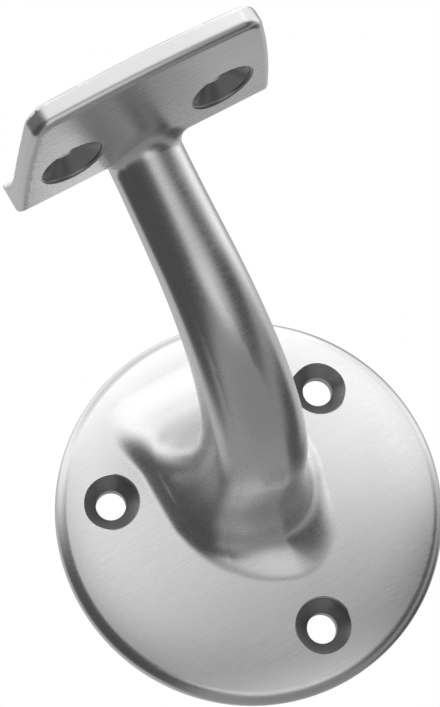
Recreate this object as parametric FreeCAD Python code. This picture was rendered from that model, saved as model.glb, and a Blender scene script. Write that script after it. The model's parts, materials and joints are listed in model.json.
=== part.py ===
import FreeCAD, Part
import math
import os

# Handrail bracket: wall plate (rose), swan-neck arm and rail saddle in one casting.
# Millimetres. Origin: centre of the rose's flat back. +Z up, -Y away from the wall, +X along
# the rail.

V = FreeCAD.Vector

# rose
rose_dia = 70.0
rose_rim = 2.4            # straight edge of the rose beside the wall
rose_edge_h = 4.0         # height where the dome meets the rounded edge
rose_crown = 6.8          # height of the dome at the middle
rose_edge_in = 1.6        # width of the rounded edge, seen from the front
rose_edge_full = 0.72     # fullness of the rounded edge; 0.5 would be a bevel

# wall screws
wall_holes = 3
wall_first = 30.0         # degrees from +X towards +Z
wall_pcd = 50.0
wall_hole_dia = 5.4
wall_sink_dia = 9.7
wall_sink_depth = 2.2
wall_land = 0.7           # straight wall at the mouth of each sink

# saddle
saddle_under = 42.2       # height of the underside over the rose's centre
saddle_back = 76.5        # wall to the saddle's back edge
saddle_depth = 25.2
saddle_len = 41.8
saddle_taper = 3.9        # how much shorter each end is at the front edge
saddle_side_bow = 0.6     # bulge of each end
saddle_bow = 0.9          # bulge of the front edge
saddle_corner = 1.8

# seat for the rail: a cove against the rail's back that runs out into a shallow hollow
seat_lip = 5.5            # thickness of the saddle at its back edge
seat_thin = 2.6           # thickness at the lowest line
seat_front = 3.3          # thickness at the front edge
seat_run = 8.6            # back edge to the lowest line

# heel: the rounded top of the arm behind the saddle
heel_rad = 14.0
heel_sweep = 60.0         # degrees the round goes down behind

# rail screws
rail_pitch = 24.0
rail_row = 9.3            # back edge to the row of screws
rail_hole_dia = 4.6
rail_sink_dia = 9.2
rail_sink_depth = 1.9

# arm: level out of the rose, round one bend and straight up the slope into the saddle
arm_level = 4.1           # height of its axis at the rose
arm_bend_rad = 41.4
arm_slope = 65.0          # degrees from level
neck_behind = 2.5         # axis at the underside's height, behind the saddle's back edge
arm_root_half = 10.9
arm_neck_half = 5.75
arm_taper = 1.45          # power of the taper, 1 would be straight
arm_depth = 0.97          # front to back size of a section over its width
arm_root_fillet = 2.6
arm_neck_fillet = 2.0

# swelling of the arm into the rose: size at the wall, distance it takes, power of its fall
swell_side = (4.0, 9.0, 1.8)
swell_up = (10.6, 8.3, 1.9)
swell_down = (8.9, 17.0, 1.5)

# dressed flat down the arm's left front: where it starts and ends round the section in degrees
flat_from = -50.0
flat_to = 33.0
flat_blend = 0.4
flat_in = (6.0, 28.0)     # along the arm, where it fades in and out
flat_out = (60.0, 84.0)

section_points = 28
root_stations = (2.0, 6.0, 10.0, 15.0, 22.0)
station_step = 11.0


def arm_axis():
    # lengths of the level, bent and sloping stretches, found back from the neck
    a = math.radians(arm_slope)
    rise = saddle_under - arm_level - arm_bend_rad * (1 - math.cos(a))
    slope_len = rise / math.sin(a)
    level_len = saddle_back - neck_behind - slope_len * math.cos(a) - arm_bend_rad * math.sin(a)
    return level_len, arm_bend_rad * a, slope_len


level_len, bend_len, slope_len = arm_axis()
neck_at = level_len + bend_len + slope_len


def arm_point(s):
    # point of the arm's axis at distance s from the wall, and its direction from level
    a = math.radians(arm_slope)
    y = min(s, level_len)
    z = arm_level
    t = 0.0
    if s > level_len:
        t = min((s - level_len) / arm_bend_rad, a)
        y += arm_bend_rad * math.sin(t)
        z += arm_bend_rad * (1 - math.cos(t))
    if s > level_len + bend_len:
        run = s - level_len - bend_len
        y += run * math.cos(a)
        z += run * math.sin(a)
    return V(0, -y, z), t


def ease(s, span):
    x = min(max((s - span[0]) / (span[1] - span[0]), 0.0), 1.0)
    return x * x * (3 - 2 * x)


def swell(s, law):
    return law[0] * math.exp(-((s / law[1]) ** law[2]))


def section_wire(s):
    # rounded section of the arm, square to its axis, with the dressed flat on its left front
    origin, tilt = arm_point(s)
    down = V(0, -math.sin(tilt), -math.cos(tilt))
    left = max(1 - s / neck_at, 0.0)
    half = arm_neck_half + (arm_root_half - arm_neck_half) * left ** arm_taper
    half_w = half + swell(s, swell_side)
    reach_down = half * arm_depth + swell(s, swell_down)
    reach_up = half * arm_depth + swell(s, swell_up)
    power = 1.0 - 0.2 * ease(neck_at - s, (0.0, neck_at / 2))
    flat = ease(s, flat_in) * (1 - ease(s, flat_out))

    def at(angle):
        c, sn = math.cos(angle), math.sin(angle)
        u = half_w * math.copysign(abs(sn) ** power, sn)
        reach = reach_down if c > 0 else reach_up
        return u, reach * math.copysign(abs(c) ** power, c)

    u0, v0 = at(math.radians(flat_from))
    u1, v1 = at(math.radians(flat_to))
    points = []
    for i in range(section_points):
        u, v = at(math.pi + 2 * math.pi * i / section_points)
        over = v - (v0 + (v1 - v0) * (u - u0) / (u1 - u0))
        if over > -4 * flat_blend:
            v -= flat * 0.5 * (over + math.sqrt(over * over + flat_blend * flat_blend))
        points.append(origin + V(1, 0, 0) * u + down * v)
    curve = Part.BSplineCurve()
    even = [i / section_points for i in range(section_points + 1)]
    curve.interpolate(points, PeriodicFlag=True, Parameters=even)
    return Part.Wire([curve.toShape()])


def make_arm():
    end = neck_at + 2 * seat_lip
    stations = list(root_stations)
    steps = math.ceil((neck_at - stations[-1]) / station_step)
    for i in range(1, steps + 1):
        stations.append(stations[-1] + (neck_at - root_stations[-1]) / steps)
    stations.append(end)
    return Part.makeLoft([section_wire(s) for s in stations], True, False)


def dome_arc_rad():
    r_in = rose_dia / 2 - rose_edge_in
    rise = rose_crown - rose_edge_h
    return (r_in * r_in + rise * rise) / (2 * rise)


def dome_height(r):
    return rose_crown - dome_arc_rad() + math.sqrt(dome_arc_rad() ** 2 - r * r)


def make_rose():
    r = rose_dia / 2
    r_in = r - rose_edge_in
    crown = V(0, -rose_crown, 0)
    brow = V(r_in, -rose_edge_h, 0)
    dome = Part.Arc(crown, V(r_in / 2, -dome_height(r_in / 2), 0), brow).toShape()
    full = rose_edge_full
    bend = V(r_in + rose_edge_in * full, -rose_rim - (rose_edge_h - rose_rim) * full, 0)
    edge = Part.Arc(brow, bend, V(r, -rose_rim, 0)).toShape()
    side = Part.makeLine(V(r, -rose_rim, 0), V(r, 0, 0))
    back = Part.makeLine(V(r, 0, 0), V(0, 0, 0))
    axis = Part.makeLine(V(0, 0, 0), crown)
    face = Part.Face(Part.Wire([dome, edge, side, back, axis]))
    return face.revolve(V(0, 0, 0), V(0, 1, 0), 360)


def make_saddle():
    half = saddle_len / 2
    half_f = half - saddle_taper
    y0 = -saddle_back
    y1 = y0 - saddle_depth
    mid_y = (y0 + y1) / 2
    mid_x = half - saddle_taper / 2 + saddle_side_bow
    z = saddle_under
    back = Part.makeLine(V(-half, y0, z), V(half, y0, z))
    right = Part.Arc(V(half, y0, z), V(mid_x, mid_y, z), V(half_f, y1, z)).toShape()
    front = Part.Arc(V(half_f, y1, z), V(0, y1 - saddle_bow, z), V(-half_f, y1, z)).toShape()
    left = Part.Arc(V(-half_f, y1, z), V(-mid_x, mid_y, z), V(-half, y0, z)).toShape()
    blank = Part.Face(Part.Wire([back, right, front, left])).extrude(V(0, 0, seat_lip))
    corners = []
    for e in blank.Edges:
        if abs(e.BoundBox.ZLength - seat_lip) < 0.01 and e.CenterOfMass.y < mid_y:
            corners.append(e)
    return blank.makeFillet(saddle_corner, corners)


def level_arc(low, end):
    # arc that leaves its lowest or highest point level and ends at a given point
    dy = end.y - low.y
    dz = end.z - low.z
    rad = (dy * dy + dz * dz) / (2 * abs(dz))
    way = math.copysign(1.0, dz)
    half = math.atan2(abs(dy), rad - abs(dz)) / 2
    mid_y = low.y + math.copysign(rad * math.sin(half), dy)
    mid = V(0, mid_y, low.z + way * rad * (1 - math.cos(half)))
    return Part.Arc(low, mid, end).toShape()


def rail_volume():
    # all that the rail and the air behind it take: seat, then the round of the heel
    lip = V(0, -saddle_back, saddle_under + seat_lip)
    low = V(0, -(saddle_back + seat_run), saddle_under + seat_thin)
    front = V(0, -(saddle_back + saddle_depth), saddle_under + seat_front)
    far = front + (front - low)
    far.z = low.z + 4 * (front.z - low.z)
    sweep = math.radians(heel_sweep)
    heel = lip + V(0, heel_rad * math.sin(sweep), heel_rad * (math.cos(sweep) - 1))
    sky = saddle_under + saddle_len
    edges = [level_arc(low, far), level_arc(low, lip), level_arc(lip, heel)]
    tops = [heel, V(0, heel.y, sky), V(0, far.y, sky), far]
    for a, b in zip(tops, tops[1:]):
        edges.append(Part.makeLine(a, b))
    face = Part.Face(Part.Wire(Part.__sortEdges__(edges)))
    face.translate(V(-saddle_len, 0, 0))
    return face.extrude(V(2 * saddle_len, 0, 0))


def screw_cut(mouth, into, hole_dia, sink_dia, sink_depth, land, through):
    # countersunk hole: mouth is the middle of its rim and into points down the hole
    above = mouth - into * sink_depth
    rim = Part.makeCylinder(sink_dia / 2, sink_depth + land, above, into)
    cone = Part.makeCone(sink_dia / 2, hole_dia / 2, sink_depth, mouth + into * land, into)
    hole = Part.makeCylinder(hole_dia / 2, through, mouth, into)
    return rim.fuse([cone, hole])


def root_edges(shape):
    # the line where the arm meets the dome
    found = []
    for e in shape.Edges:
        spots = [e.valueAt(e.FirstParameter + (e.LastParameter - e.FirstParameter) * k)
                 for k in (0.0, 0.5, 1.0)]
        far = max(math.hypot(p.x, p.z) for p in spots)
        if far < rose_dia / 2 - 2 * rose_edge_in:
            if all(abs(p.y + dome_height(math.hypot(p.x, p.z))) < 0.01 for p in spots):
                found.append(e)
    return found


def neck_edges(shape):
    # the line where the arm meets the saddle's underside and back face
    found = []
    for e in shape.Edges:
        box = e.BoundBox
        wide = max(abs(box.XMin), abs(box.XMax))
        under = box.ZLength < 0.05 and abs(box.ZMin - saddle_under) < 0.05
        back = box.YLength < 0.05 and box.ZLength > 2 and abs(box.YMax + saddle_back) < 0.05
        if wide < 1.4 * arm_neck_half and (under or back):
            found.append(e)
    return found


body = make_rose().fuse(make_arm()).removeSplitter()
body = body.makeFillet(arm_root_fillet, root_edges(body))
body = body.fuse(make_saddle()).removeSplitter()
body = body.makeFillet(arm_neck_fillet, neck_edges(body))
body = body.cut(rail_volume())

for k in range(wall_holes):
    turn = math.radians(wall_first + 360 * k / wall_holes)
    r = wall_pcd / 2
    mouth = V(r * math.cos(turn), -dome_height(r), r * math.sin(turn))
    body = body.cut(screw_cut(mouth, V(0, 1, 0), wall_hole_dia, wall_sink_dia,
                              wall_sink_depth, wall_land, 2 * rose_crown))
for side in (-1, 1):
    mouth = V(side * rail_pitch / 2, -saddle_back - rail_row, saddle_under)
    body = body.cut(screw_cut(mouth, V(0, 0, 1), rail_hole_dia, rail_sink_dia,
                              rail_sink_depth, 0.0, 2 * seat_lip))

body = body.removeSplitter()
print("handrail_bracket: valid", body.isValid(), "solids", len(body.Solids), "mm3", round(body.Volume))
os.makedirs("parts", exist_ok=True)
body.Solids[0].exportStep("parts/handrail_bracket.step")
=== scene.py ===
import json
import math

import bmesh
import bpy
import numpy as np
import openvdb
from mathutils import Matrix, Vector


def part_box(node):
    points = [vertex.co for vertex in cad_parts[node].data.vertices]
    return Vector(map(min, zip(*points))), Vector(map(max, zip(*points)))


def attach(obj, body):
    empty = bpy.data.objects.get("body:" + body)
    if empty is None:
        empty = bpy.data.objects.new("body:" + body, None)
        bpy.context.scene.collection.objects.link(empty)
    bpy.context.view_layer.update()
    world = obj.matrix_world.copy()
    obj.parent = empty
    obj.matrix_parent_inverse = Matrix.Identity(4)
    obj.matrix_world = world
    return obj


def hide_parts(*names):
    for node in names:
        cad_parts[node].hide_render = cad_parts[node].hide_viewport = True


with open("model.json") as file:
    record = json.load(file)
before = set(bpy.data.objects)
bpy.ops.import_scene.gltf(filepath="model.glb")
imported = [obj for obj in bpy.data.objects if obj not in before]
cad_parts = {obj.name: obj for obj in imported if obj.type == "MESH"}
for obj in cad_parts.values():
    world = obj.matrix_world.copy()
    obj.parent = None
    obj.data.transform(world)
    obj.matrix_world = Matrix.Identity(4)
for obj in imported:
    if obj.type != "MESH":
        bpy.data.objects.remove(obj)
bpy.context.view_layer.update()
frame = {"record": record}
mounts = {m["name"]: m for m in frame["record"]["mounts"]}
lowCorner, highCorner = [[v * 1000 for v in c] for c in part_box("handrail_bracket")]
print("frame loaded")

# The casting is worked out in millimetres. x runs along the rail, h is the distance from the
# wall and z is up. Every function below gives the distance out of the metal, under 0 inside.

rose = {
    "radius": highCorner[0],
    "crown": 6.8,          # height at the middle
    "edgeHigh": 4.0,       # height of the dome where its edge begins
    "edgeIn": 1.6,         # how far in that is
    "backRound": 0.25,
    "edgeRound": 2.2,
    "roll": 0.6,           # the dome falls away a little more towards its edge
    "rollFrom": 24.0,
    "rollPower": 2.5,
}
wallScrews = {
    "count": mounts["wall_screws"]["dims"]["count"],
    "circle": mounts["wall_screws"]["dims"]["pcd_mm"] / 2,
    "hole": mounts["wall_screws"]["dims"]["hole_r_mm"],
    "sink": 4.85,          # radius of the countersink's mouth
    "sinkDeep": 2.2,
    "land": 0.7,           # straight wall above the countersink
    "first": 30.0,         # degrees round the rose
    "rimRound": 0.3,
}
saddle = {
    "under": 42.2,         # height of its underside
    "back": 76.5,          # distance of its back edge from the wall
    "deep": 25.2,
    "half": 20.9,          # half its length at the back
    "taper": 3.9,          # how much shorter each half is at the front
    "sideBow": 0.6,
    "bow": 0.9,            # bow of the front edge
    "corner": 2.4,
    "lip": 5.5,            # thickness at the back edge
    "thin": 2.6,           # and at the foot of the cove
    "front": 3.3,          # and at the front edge
    "run": 8.6,            # width of the cove
    "edgeRound": 0.4,
    "underRound": 1.2,
}
railScrews = {
    "spread": mounts["rail_screws"]["dims"]["spacing_x_mm"] / 2,
    "row": -1000 * mounts["rail_screws"]["pos_m"][1],
    "hole": mounts["rail_screws"]["dims"]["hole_r_mm"],
    "sink": 4.6,
    "sinkDeep": 1.9,
    "land": 0.0,
    "rimRound": 0.45,
}
arm = {
    "level": 4.1,          # height of the axis where it leaves the wall
    "bend": 41.4,
    "slope": math.radians(65),
    "neckBehind": 2.5,
    "rootHalf": 10.9,      # half width at the wall
    "neckHalf": 5.75,      # and under the saddle
    "taper": 1.45,
    "depth": 0.97,         # depth of the section for its width
    "start": 1.0,          # the arm begins this far off the wall, inside the rose
    # extra size near the wall: amount, reach and how suddenly it ends
    "swellSide": (3.8, 9.5, 1.8),
    "swellUp": (16.0, 7.2, 1.4),
    "swellDown": (9.8, 9.0, 1.8),
    "rootBox": 6.0,        # how square the section is at the root above its middle, 2 is round
    "rootSlim": 1.75,      # and below it
    "boxBlend": (-3.0, 3.0),
    "boxTo": 26.0,
    "rootFillet": 2.3,
    "rootFilletLow": 5.0,  # below the arm
    "rootLow": (2.0, 14.0),
    "rootFilletHigh": 5.0,  # above it
    "rootHigh": (13.0, 22.0),
    "neckFillet": 2.0,
    "midSquare": 0.2,      # how square the section gets below the neck
    "heel": 14.0,
    # dressed flat: where it lies round the arm, and where it fades in and out along it
    "flatFrom": math.radians(-42),
    "flatTo": math.radians(5),
    "flatIn": (0.0, 12.0),
    "flatOut": (52.0, 78.0),
    "flatLift": 0.25,      # how far out it has gone where it has faded
    "flatCrisp": 0.3,      # rounding of its right edge
    "flatSoft": 3.5,       # and of its left edge
    "flatTurn": (0.1, 0.8),  # where the rounding begins to grow, and over what width
}
grid = {
    "cell": 0.45,
    "margin": 1.5,
    "snaps": 4,
    "slab": 8,             # layers worked out at a time
    "band": 3,             # cells kept on each side of the surface
    "step": 0.02,          # for the slope of the distance
    "reach": 0.5,          # longest move of one snap
    "flattest": 0.05,
}


def roundMax(a, b, r):
    # corner between two faces, rounded
    return np.minimum(-r, np.maximum(a, b)) + np.hypot(np.maximum(r + a, 0), np.maximum(r + b, 0))


def roundMin(a, b, r):
    # inside corner between two faces, filled to a radius
    return np.maximum(r, np.minimum(a, b)) - np.hypot(np.maximum(r - a, 0), np.maximum(r - b, 0))


def ease(t, span):
    u = np.clip((t - span[0]) / (span[1] - span[0]), 0, 1)
    return u * u * (3 - 2 * u)


def domeRadius():
    inner = rose["radius"] - rose["edgeIn"]
    rise = rose["crown"] - rose["edgeHigh"]
    return (inner * inner + rise * rise) / (2 * rise)


def roseField(x, h, z):
    across = np.hypot(x, z)
    ball = domeRadius()
    dome = np.hypot(across, h - rose["crown"] + ball) - ball
    out = np.clip((across - rose["rollFrom"]) / (rose["radius"] - rose["rollFrom"]), 0, 1)
    dome = dome + rose["roll"] * out ** rose["rollPower"]
    return roundMax(dome, across - rose["radius"], rose["edgeRound"])


def armPath():
    # lengths of the level, bent and sloping stretches, found back from the saddle
    a = arm["slope"]
    rise = saddle["under"] - arm["level"] - arm["bend"] * (1 - math.cos(a))
    sloping = rise / math.sin(a)
    neck = saddle["back"] - arm["neckBehind"]
    level = neck - sloping * math.cos(a) - arm["bend"] * math.sin(a)
    return level, arm["bend"] * a, sloping


levelLong, bendLong, slopeLong = armPath()
neckAt = levelLong + bendLong + slopeLong


def swell(s, law):
    return law[0] * np.exp(-((np.maximum(s, 0) / law[1]) ** law[2]))


def alongArm(h, z):
    # distance along the arm's axis, and distance from it towards the front and underside
    a = arm["slope"]
    top = arm["level"] + arm["bend"]
    turn = np.arctan2(h - levelLong, top - z)
    s = np.where(h < levelLong, h, levelLong + arm["bend"] * turn)
    v = np.where(h < levelLong, arm["level"] - z, np.hypot(h - levelLong, top - z) - arm["bend"])
    endH = levelLong + arm["bend"] * math.sin(a)
    endZ = top - arm["bend"] * math.cos(a)
    onSlope = (h >= levelLong) & ((turn > a) | (turn < 0))
    run = (h - endH) * math.cos(a) + (z - endZ) * math.sin(a)
    out = (h - endH) * math.sin(a) - (z - endZ) * math.cos(a)
    s = np.where(onSlope, levelLong + bendLong + run, s)
    v = np.where(onSlope, out, v)
    return s, v


def armField(x, h, z):
    s, v = alongArm(h, z)
    left = np.clip(1 - s / neckAt, 0, 1)
    half = arm["neckHalf"] + (arm["rootHalf"] - arm["neckHalf"]) * left ** arm["taper"]
    wide = half + swell(s, arm["swellSide"])
    down = half * arm["depth"] + swell(s, arm["swellDown"])
    up = half * arm["depth"] + swell(s, arm["swellUp"])
    reach = np.where(v > 0, down, up)
    power = 2 / (1 - arm["midSquare"] * ease(neckAt - s, (0, neckAt / 2)))
    atRoot = arm["rootSlim"] + (arm["rootBox"] - arm["rootSlim"]) * ease(-v, arm["boxBlend"])
    power = power + (atRoot - power) * (1 - ease(s, (0, arm["boxTo"])))
    ratio = ((np.abs(x) / wide) ** power + (np.abs(v) / reach) ** power) ** (1 / power)
    ratio = np.maximum(ratio, 1e-3)
    section = np.hypot(x, v) * (1 - 1 / ratio)
    # dressed flat down the front
    sin0, cos0 = math.sin(arm["flatFrom"]), math.cos(arm["flatFrom"])
    sin1, cos1 = math.sin(arm["flatTo"]), math.cos(arm["flatTo"])
    p = 2 / power
    u0, v0 = -wide * abs(sin0) ** p, down * cos0 ** p
    u1, v1 = wide * sin1 ** p, down * cos1 ** p
    tilt = np.arctan2(v1 - v0, u1 - u0)
    over = (v - v0) * np.cos(tilt) - (x - u0) * np.sin(tilt)
    keep = ease(s, arm["flatIn"]) * (1 - ease(s, arm["flatOut"]))
    over = over - (1 - keep) * arm["flatLift"] * half
    start, width = arm["flatTurn"]
    soft = np.clip((start - x / wide) / width, 0, 1)
    edge = arm["flatCrisp"] + (arm["flatSoft"] - arm["flatCrisp"]) * soft
    return roundMax(section, over, edge)


def armTop(h, z):
    # above 0 where the rail or the air over the heel takes the metal away
    lipZ = saddle["under"] + saddle["lip"]
    lowH = saddle["back"] + saddle["run"]
    lowZ = saddle["under"] + saddle["thin"]
    rise = saddle["lip"] - saddle["thin"]
    cove = (saddle["run"] ** 2 + rise ** 2) / (2 * rise)
    rest = saddle["deep"] - saddle["run"]
    lift = saddle["front"] - saddle["thin"]
    hollow = (rest ** 2 + lift ** 2) / (2 * lift)
    inCove = cove - np.hypot(h - lowH, z - lowZ - cove)
    inHollow = hollow - np.hypot(h - lowH, z - lowZ - hollow)
    overHeel = np.hypot(h - saddle["back"], z - lipZ + arm["heel"]) - arm["heel"]
    overHeel = np.minimum(overHeel, z - lipZ + arm["heel"] / 2)
    return np.where(h < saddle["back"], overHeel, np.where(h < lowH, inCove, inHollow))


def saddleField(x, h, z):
    t = (h - saddle["back"]) / saddle["deep"]
    end = saddle["half"] - saddle["taper"] * t + 4 * saddle["sideBow"] * t * (1 - t)
    side = np.abs(x) - end
    across = x / (saddle["half"] - saddle["taper"])
    front = h - saddle["back"] - saddle["deep"] - saddle["bow"] * (1 - across ** 2)
    plan = roundMax(side, front, saddle["corner"])
    plan = roundMax(plan, saddle["back"] - h, saddle["edgeRound"])
    return roundMax(plan, saddle["under"] - z, saddle["underRound"])


def castField(x, h, z):
    limb = np.maximum(armField(x, h, z), arm["start"] - h)
    low, high = ease(-z, arm["rootLow"]), ease(z, arm["rootHigh"])
    fillet = arm["rootFillet"] + (arm["rootFilletLow"] - arm["rootFillet"]) * low
    fillet = fillet + (arm["rootFilletHigh"] - arm["rootFillet"]) * high
    body = roundMin(roseField(x, h, z), limb, fillet)
    body = roundMax(body, -h, rose["backRound"])
    body = roundMin(body, saddleField(x, h, z), arm["neckFillet"])
    body = roundMax(body, armTop(h, z), saddle["edgeRound"])
    return body


def fieldAt(points):
    return castField(points[:, 0], -points[:, 1], points[:, 2])


def fieldSlope(points):
    step = grid["step"]
    slope = np.empty_like(points)
    for k in range(3):
        move = np.zeros(3)
        move[k] = step
        slope[:, k] = (fieldAt(points + move) - fieldAt(points - move)) / (2 * step)
    return slope


def snapToCasting(points, times):
    for k in range(times):
        slope = fieldSlope(points)
        size = np.maximum((slope ** 2).sum(1), grid["flattest"])
        move = np.clip(fieldAt(points) / size, -grid["reach"], grid["reach"])
        points = points - slope * move[:, None]
    return points


def buildCasting():
    cell = grid["cell"]
    low = np.array(lowCorner) - grid["margin"]
    high = np.array(highCorner) + grid["margin"]
    count = np.ceil((high - low) / cell).astype(int) + 1
    xs, ys, zs = [low[k] + cell * np.arange(count[k]) for k in range(3)]
    field = np.empty(count, np.float32)
    slab, band = grid["slab"], grid["band"] * cell
    for i in range(0, count[0], slab):
        x, y, z = np.meshgrid(xs[i:i + slab], ys, zs, indexing="ij")
        field[i:i + slab] = castField(x, -y, z)
    field = np.clip(field, -band, band)
    vdb = openvdb.FloatGrid(band)
    vdb.copyFromArray(field)
    points, quads = vdb.convertToQuads(0.0)
    points = low + cell * np.asarray(points, float)
    print("casting meshed", len(points), "points", len(quads), "quads")
    points = snapToCasting(points, grid["snaps"])
    points[:, 1] = np.minimum(points[:, 1], 0)
    return points, np.asarray(quads)


cutter = {
    "above": 4.0,          # how far it stands out of the mouth
    "below": 14.0,         # and how far it reaches in
    "rimSteps": 4,
    "steps": 112,
}


def screwCutter(hole):
    # outline of the cutter from the mouth down, as radius and depth
    rim, mouth = hole["rimRound"], hole["sink"]
    sinkFrom = max(hole["land"], rim)
    outline = [(0, -cutter["above"]), (mouth + rim, -cutter["above"])]
    for k in range(cutter["rimSteps"] + 1):
        turn = math.pi / 2 * k / cutter["rimSteps"]
        outline.append((mouth + rim * (1 - math.sin(turn)), rim * (1 - math.cos(turn))))
    outline += [(mouth, sinkFrom), (hole["hole"], sinkFrom + hole["sinkDeep"])]
    return outline + [(hole["hole"], cutter["below"]), (0, cutter["below"])]


def addCutter(build, outline, mouth, into):
    # spins the outline round the hole's axis
    steps = cutter["steps"]
    side = into.orthogonal().normalized()
    other = into.cross(side)
    rings = []
    for radius, deep in outline:
        middle = mouth + into * deep
        if radius == 0:
            rings.append([build.verts.new(middle)])
            continue
        ring = []
        for k in range(steps):
            turn = 2 * math.pi * k / steps
            away = side * math.cos(turn) + other * math.sin(turn)
            ring.append(build.verts.new(middle + away * radius))
        rings.append(ring)
    for a, b in zip(rings, rings[1:]):
        for k in range(steps):
            n = (k + 1) % steps
            corners = [a[k % len(a)], a[n % len(a)], b[n % len(b)], b[k % len(b)]]
            build.faces.new(list(dict.fromkeys(corners)))


def cutHoles(body):
    build = bmesh.new()
    ball = domeRadius()
    deep = rose["crown"] - ball + math.sqrt(ball ** 2 - wallScrews["circle"] ** 2)
    outline = screwCutter(wallScrews)
    for k in range(wallScrews["count"]):
        turn = math.radians(wallScrews["first"]) + 2 * math.pi * k / wallScrews["count"]
        r = wallScrews["circle"]
        mouth = Vector((r * math.cos(turn), -deep, r * math.sin(turn)))
        addCutter(build, outline, mouth, Vector((0, 1, 0)))
    outline = screwCutter(railScrews)
    for side in (-1, 1):
        mouth = Vector((side * railScrews["spread"], -railScrews["row"], saddle["under"]))
        addCutter(build, outline, mouth, Vector((0, 0, 1)))
    bmesh.ops.recalc_face_normals(build, faces=build.faces)
    bmesh.ops.scale(build, verts=build.verts, vec=(0.001, 0.001, 0.001))
    cutMesh = bpy.data.meshes.new("screwCutters")
    build.to_mesh(cutMesh)
    build.free()
    for k in range(2):
        cutMesh.materials.append(None)
    # the cutter's faces give the hole walls the second finish, whose dark colour is painted shade
    cutMesh.polygons.foreach_set("material_index", np.ones(len(cutMesh.polygons), np.int32))
    tool = bpy.data.objects.new("screwCutters", cutMesh)
    bpy.context.scene.collection.objects.link(tool)
    cut = body.modifiers.new("cut", "BOOLEAN")
    cut.object = tool
    cut.operation = "DIFFERENCE"
    cut.solver = "EXACT"
    cut.material_mode = "INDEX"
    evaluated = body.evaluated_get(bpy.context.evaluated_depsgraph_get())
    result = bpy.data.meshes.new_from_object(evaluated)
    body.modifiers.remove(cut)
    bpy.data.objects.remove(tool)
    return result


points, quads = buildCasting()
blank = bpy.data.meshes.new("bracketBlank")
blank.from_pydata((points / 1000).tolist(), [], quads.tolist())
blank.update()
if sum(p.center.dot(p.normal) * p.area for p in blank.polygons) < 0:
    blank.flip_normals()
for k in range(3):
    blank.materials.append(None)
casting = bpy.data.objects.new("bracketCasting", blank)
bpy.context.scene.collection.objects.link(casting)
mesh = cutHoles(casting)
casting.data = mesh
mesh.name = "bracketCasting"
print("holes cut", len(mesh.vertices), "points")

smoothing = {
    "sharp": math.radians(35),
    "agree": 0.6,          # a corner further off its shape's normal than this keeps its own
    "backDeep": 0.0003,    # how near the wall a face is to count as the back, and how square to it
    "backSquare": 0.8,
}

# the casting's own faces take their normals from its shape, the drilled ones keep theirs
mesh.shade_smooth()
mesh.set_sharp_from_angle(angle=smoothing["sharp"])
corners = np.empty(len(mesh.loops) * 3)
mesh.corner_normals.foreach_get("vector", corners)
corners = corners.reshape(-1, 3)
places = np.empty(len(mesh.vertices) * 3)
mesh.vertices.foreach_get("co", places)
places = places.reshape(-1, 3) * 1000
shape = fieldSlope(places)
shape /= np.maximum(np.linalg.norm(shape, axis=1), 1e-6)[:, None]
loopVertex = np.empty(len(mesh.loops), np.int32)
mesh.loops.foreach_get("vertex_index", loopVertex)
faceSize = np.empty(len(mesh.polygons), np.int32)
mesh.polygons.foreach_get("loop_total", faceSize)
faceSlot = np.empty(len(mesh.polygons), np.int32)
mesh.polygons.foreach_get("material_index", faceSlot)
ownFace = np.repeat(faceSlot, faceSize) == 0
onShape = ownFace & ((shape[loopVertex] * corners).sum(1) > smoothing["agree"])
corners[onShape] = shape[loopVertex][onShape]
mesh.normals_split_custom_set(corners.tolist())
print("casting smoothed")


def nodeMaker(tree):
    def make(kind, **settings):
        node = tree.nodes.new(kind)
        for key, value in settings.items():
            if hasattr(node, key):
                setattr(node, key, value)
        return node
    return make


brush = {
    "lineDetail": 3,
    "lineRough": 0.6,
    "cloudDetail": 4,
    "lineReach": 0.25,     # the lines run from minus this to this
}


def grainGroup():
    # fine brush lines and slow unevenness of a hand finished casting
    tree = bpy.data.node_groups.new("brushGrain", "ShaderNodeTree")
    face = tree.interface
    face.new_socket("Vector", in_out="INPUT", socket_type="NodeSocketVector")
    for name, value in (("Lines", 900.0), ("Stretch", 0.04), ("Line Depth", 0.5), ("Cloud", 60.0)):
        face.new_socket(name, in_out="INPUT", socket_type="NodeSocketFloat").default_value = value
    face.new_socket("Lines", in_out="OUTPUT", socket_type="NodeSocketFloat")
    face.new_socket("Cloud", in_out="OUTPUT", socket_type="NodeSocketFloat")
    make = nodeMaker(tree)
    start, end = make("NodeGroupInput"), make("NodeGroupOutput")
    squash = make("ShaderNodeCombineXYZ")
    squash.inputs["Y"].default_value = 1
    squash.inputs["Z"].default_value = 1
    tree.links.new(start.outputs["Stretch"], squash.inputs["X"])
    along = make("ShaderNodeVectorMath", operation="MULTIPLY")
    tree.links.new(start.outputs["Vector"], along.inputs[0])
    tree.links.new(squash.outputs[0], along.inputs[1])
    lines = make("ShaderNodeTexNoise")
    lines.inputs["Detail"].default_value = brush["lineDetail"]
    lines.inputs["Roughness"].default_value = brush["lineRough"]
    tree.links.new(along.outputs[0], lines.inputs["Vector"])
    tree.links.new(start.outputs["Lines"], lines.inputs["Scale"])
    cloud = make("ShaderNodeTexNoise")
    cloud.inputs["Detail"].default_value = brush["cloudDetail"]
    tree.links.new(start.outputs["Vector"], cloud.inputs["Vector"])
    tree.links.new(start.outputs["Cloud"], cloud.inputs["Scale"])
    centred = make("ShaderNodeMath", operation="SUBTRACT")
    centred.inputs[1].default_value = 0.5
    tree.links.new(lines.outputs[0], centred.inputs[0])
    deep = make("ShaderNodeMath", operation="MULTIPLY")
    tree.links.new(centred.outputs[0], deep.inputs[0])
    tree.links.new(start.outputs["Line Depth"], deep.inputs[1])
    tree.links.new(deep.outputs[0], end.inputs["Lines"])
    tree.links.new(cloud.outputs[0], end.inputs["Cloud"])
    return tree


grain = grainGroup()


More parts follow.
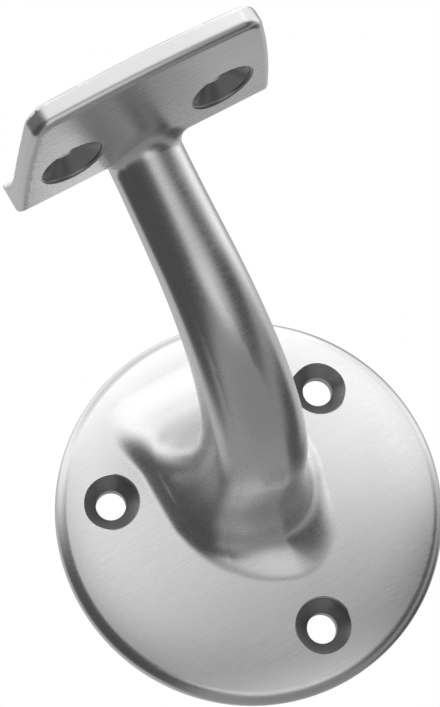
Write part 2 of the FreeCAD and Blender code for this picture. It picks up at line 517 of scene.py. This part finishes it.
def metalFinish(name, look):
    mat = bpy.data.materials.new(name)
    mat.use_nodes = True
    tree = mat.node_tree
    make = nodeMaker(tree)
    shader = tree.nodes["Principled BSDF"]
    shader.inputs["Metallic"].default_value = 1
    place = make("ShaderNodeTexCoord")
    marks = make("ShaderNodeGroup")
    marks.node_tree = grain
    for key in ("Lines", "Stretch", "Line Depth", "Cloud"):
        marks.inputs[key].default_value = look[key]
    tree.links.new(place.outputs["Object"], marks.inputs["Vector"])
    colour = make("ShaderNodeMix", data_type="RGBA")
    colour.inputs["A"].default_value = (*look["dark"], 1)
    colour.inputs["B"].default_value = (*look["light"], 1)
    tree.links.new(marks.outputs["Cloud"], colour.inputs["Factor"])
    tree.links.new(colour.outputs["Result"], shader.inputs["Base Color"])
    rough = make("ShaderNodeMapRange")
    rough.inputs["From Min"].default_value = -brush["lineReach"]
    rough.inputs["From Max"].default_value = brush["lineReach"]
    rough.inputs["To Min"].default_value = look["rough"][0]
    rough.inputs["To Max"].default_value = look["rough"][1]
    tree.links.new(marks.outputs["Lines"], rough.inputs["Value"])
    tree.links.new(rough.outputs["Result"], shader.inputs["Roughness"])
    bump = make("ShaderNodeBump")
    bump.inputs["Strength"].default_value = look["bump"]
    bump.inputs["Distance"].default_value = look["bumpDeep"]
    tree.links.new(marks.outputs["Lines"], bump.inputs["Height"])
    tree.links.new(bump.outputs["Normal"], shader.inputs["Normal"])
    return mat


satin = {
    "dark": (0.74, 0.74, 0.745), "light": (0.84, 0.84, 0.845), "rough": (0.24, 0.33),
    "Lines": 2600.0, "Stretch": 0.05, "Line Depth": 1.0, "Cloud": 70.0,
    "bump": 0.12, "bumpDeep": 0.00003,
}
# walls of the screw holes: rougher machined metal, with the base colour darkened as painted shade
# inside the holes
drilledPaintedShade = {
    "dark": (0.30, 0.30, 0.305), "light": (0.42, 0.42, 0.425), "rough": (0.3, 0.42),
    "Lines": 2500.0, "Stretch": 1.0, "Line Depth": 1.0, "Cloud": 200.0,
    "bump": 0.2, "bumpDeep": 0.00003,
}
milled = {
    "dark": (0.58, 0.58, 0.585), "light": (0.68, 0.68, 0.685), "rough": (0.34, 0.5),
    "Lines": 1800.0, "Stretch": 0.03, "Line Depth": 1.0, "Cloud": 120.0,
    "bump": 0.3, "bumpDeep": 0.00004,
}
finishes = (("satinMetal", satin), ("drilledMetalPaintedShade", drilledPaintedShade), ("milledMetal", milled))
for k, (name, look) in enumerate(finishes):
    mesh.materials[k] = metalFinish(name, look)
middle = np.empty(len(mesh.polygons) * 3)
mesh.polygons.foreach_get("center", middle)
facing = np.empty(len(mesh.polygons) * 3)
mesh.polygons.foreach_get("normal", facing)
nearWall = middle.reshape(-1, 3)[:, 1] > -smoothing["backDeep"]
onBack = nearWall & (facing.reshape(-1, 3)[:, 1] > smoothing["backSquare"])
faceSlot[onBack] = 2       # milledMetal
mesh.polygons.foreach_set("material_index", faceSlot)
mesh.update()

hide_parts("handrail_bracket")
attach(casting, "root")
print("finish made")

studio = {
    "floor": -0.16,
    "floorSize": 6,
    "floorColour": (0.82, 0.82, 0.82, 1),
    "floorRough": 0.9,
    "lamp": (-0.3, -0.5, 1.3),
    "lampAim": (0, -0.05, 0),
    "lampSize": 1.2,
    "lampPower": 14,
    "tent": 1.6,
    "tentSteps": 5,
    "base": 0.33,          # how bright the bare tent is, and the least any card leaves
    "darkest": 0.08,
    # soft lights and dark cards on the tent, in degrees: azimuth, elevation, half width,
    # half height and softness, then the change of brightness
    "cards": (
        ("top", 0, 90, 360, 50, 12, 0.80),
        ("front", 6, 24, 34, 25, 14, 0.64),
        ("right", 72, 24, 40, 30, 10, 0.68),
        ("darkLeft", -76, 3, 48, 24, 8, -0.28),
        ("darkLowLeft", -80, -30, 40, 11, 7, -0.26),
        ("underFront", -10, -40, 29, 17, 6, 0.46),
        ("below", 0, -90, 360, 30, 9, -0.06),
        ("darkStrip", 53, -42, 20, 28, 5, -0.29),
        ("darkRear", 130, -38, 27, 15, 6, -0.28),
        ("overhead", 0, 90, 360, 24, 8, -0.36),
        ("lowRight", 116, -4, 36, 16, 9, 0.22),
        ("behind", -164, 4, 46, 30, 9, 0.22),
    ),
}


def buildTent():
    bpy.ops.mesh.primitive_ico_sphere_add(subdivisions=studio["tentSteps"], radius=studio["tent"])
    tent = bpy.context.object
    tent.name = "lightTent"
    tent.data.flip_normals()
    mat = bpy.data.materials.new("tentCloth")
    mat.use_nodes = True
    tree = mat.node_tree
    tree.nodes.clear()
    make = nodeMaker(tree)
    place = make("ShaderNodeTexCoord")
    split = make("ShaderNodeSeparateXYZ")
    tree.links.new(place.outputs["Object"], split.inputs[0])

    def maths(operation, a, b=None, c=None):
        node = make("ShaderNodeMath", operation=operation)
        for k, value in enumerate((a, b, c)):
            if value is None:
                continue
            if isinstance(value, (int, float)):
                node.inputs[k].default_value = value
            else:
                tree.links.new(value, node.inputs[k])
        return node.outputs[0]

    front = maths("MULTIPLY", split.outputs["Y"], -1)
    inDegrees = math.degrees(1)
    azimuth = maths("MULTIPLY", maths("ARCTAN2", split.outputs["X"], front), inDegrees)
    high = maths("DIVIDE", split.outputs["Z"], studio["tent"])
    high = maths("MINIMUM", maths("MAXIMUM", high, -1), 1)
    elevation = maths("MULTIPLY", maths("ARCSINE", high), inDegrees)

    def softStep(value, reach, soft):
        node = make("ShaderNodeMapRange", interpolation_type="SMOOTHSTEP")
        tree.links.new(value, node.inputs["Value"])
        node.inputs["From Min"].default_value = reach + soft
        node.inputs["From Max"].default_value = reach - soft
        return node.outputs["Result"]

    glow = None
    for _, az, el, wide, tall, soft, change in studio["cards"]:
        aside = maths("SUBTRACT", azimuth, az)
        aside = maths("ABSOLUTE", maths("WRAP", aside, 180, -180))
        above = maths("ABSOLUTE", maths("SUBTRACT", elevation, el))
        patch = maths("MULTIPLY", softStep(aside, wide, soft), softStep(above, tall, soft))
        part = maths("MULTIPLY", patch, change)
        glow = part if glow is None else maths("ADD", glow, part)
    glow = maths("MAXIMUM", maths("ADD", glow, studio["base"]), studio["darkest"])
    light = make("ShaderNodeEmission")
    tree.links.new(glow, light.inputs["Strength"])
    out = make("ShaderNodeOutputMaterial")
    tree.links.new(light.outputs[0], out.inputs["Surface"])
    tent.data.materials.append(mat)
    tent.visible_camera = False
    tent.visible_shadow = False
    tent.visible_diffuse = False
    tent.visible_transmission = False
    return tent


def buildFloor():
    bpy.ops.mesh.primitive_plane_add(size=studio["floorSize"], location=(0, 0, studio["floor"]))
    floor = bpy.context.object
    floor.name = "studioFloor"
    mat = bpy.data.materials.new("paleFloor")
    mat.use_nodes = True
    shader = mat.node_tree.nodes["Principled BSDF"]
    shader.inputs["Base Color"].default_value = studio["floorColour"]
    shader.inputs["Roughness"].default_value = studio["floorRough"]
    floor.data.materials.append(mat)
    floor.visible_glossy = False
    return floor


def buildLamp():
    data = bpy.data.lights.new("softKey", "AREA")
    data.size = studio["lampSize"]
    data.energy = studio["lampPower"]
    lamp = bpy.data.objects.new("softKey", data)
    bpy.context.scene.collection.objects.link(lamp)
    lamp.location = studio["lamp"]
    aim = Vector(studio["lampAim"]) - Vector(studio["lamp"])
    lamp.rotation_euler = aim.to_track_quat("-Z", "Y").to_euler()
    lamp.visible_camera = False
    lamp.visible_glossy = False


buildTent()
buildFloor()
buildLamp()
world = bpy.data.worlds.new("paleRoom")
bpy.context.scene.world = world
world.use_nodes = True
background = world.node_tree.nodes["Background"]
background.inputs["Color"].default_value = (1, 1, 1, 1)
background.inputs["Strength"].default_value = 1

view = {
    "place": (-0.057, -0.315874, -0.043965),
    "turn": (104.578, 30.1311, -4.568),      # degrees about x, y and z
    "lens": 90.97,
    "sensor": 36,
    "nearest": 0.01,
}
cameraData = bpy.data.cameras.new("camera")
cameraData.lens = view["lens"]
cameraData.sensor_width = view["sensor"]
cameraData.clip_start = view["nearest"]
camera = bpy.data.objects.new("camera", cameraData)
bpy.context.scene.collection.objects.link(camera)
camera.location = view["place"]
camera.rotation_euler = [math.radians(v) for v in view["turn"]]
bpy.context.scene.camera = camera
bpy.context.scene.view_settings.view_transform = "Standard"

print("scene ready")
